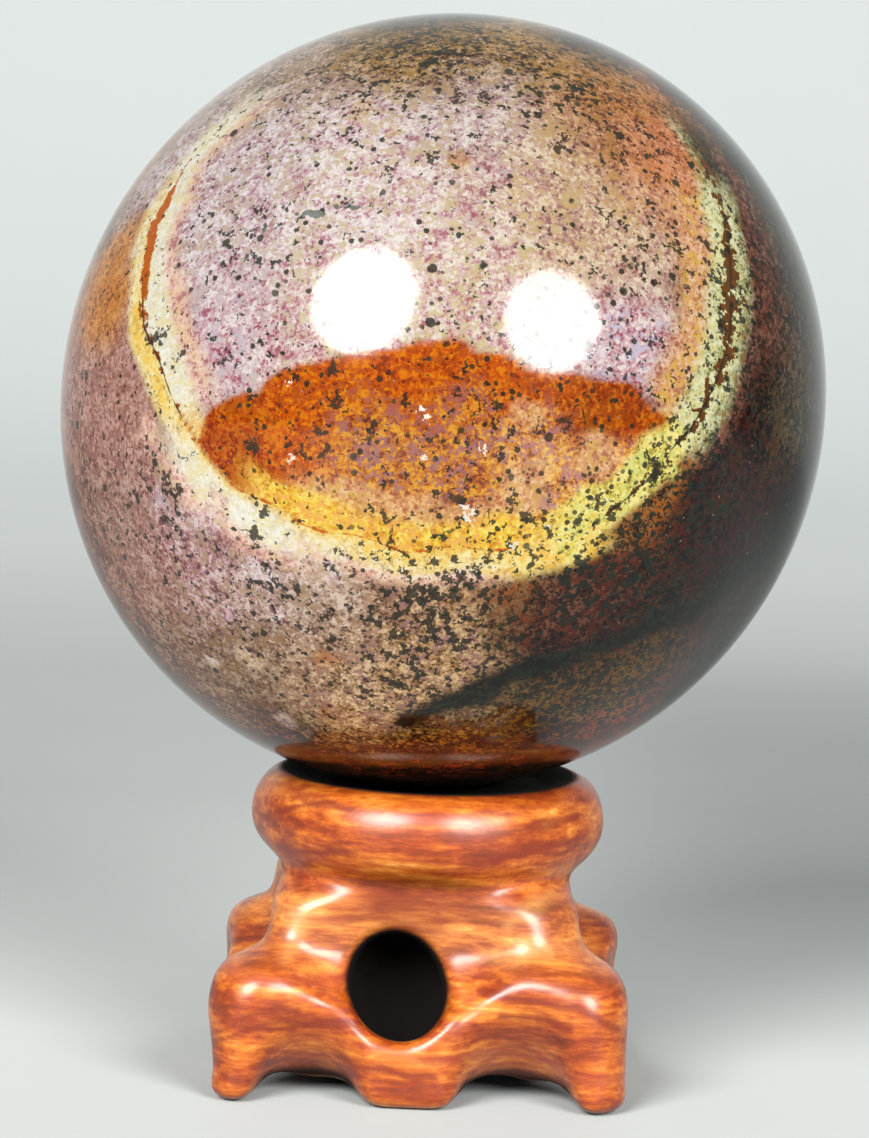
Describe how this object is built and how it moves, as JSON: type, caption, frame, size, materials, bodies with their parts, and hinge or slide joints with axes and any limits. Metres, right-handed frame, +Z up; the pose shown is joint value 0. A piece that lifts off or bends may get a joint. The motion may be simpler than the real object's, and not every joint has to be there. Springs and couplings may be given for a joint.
{
  "type": "ocean jasper sphere on a carved stand",
  "caption": "Polished orbicular jasper sphere that rests in the seat of a small carved hardwood stand with a turned ring top; a display piece for a shelf or desk.",
  "frame": {"origin": "middle of the stand's footprint, on the surface it stands on, below the middle of the sphere", "axes": "+Z up through the middle of the sphere, -Y out of the front face of the stand, +X to the right seen from the front"},
  "size_m": [0.0704, 0.0704, 0.0972],
  "materials": {
    "stone": "high polish, banded cream, orange, mauve and dark green",
    "wood": "gloss varnish over orange-brown figured hardwood"
  },
  "bodies": {
    "root": {"sphere": "stone", "stand": "wood"}
  },
  "joints": []
}
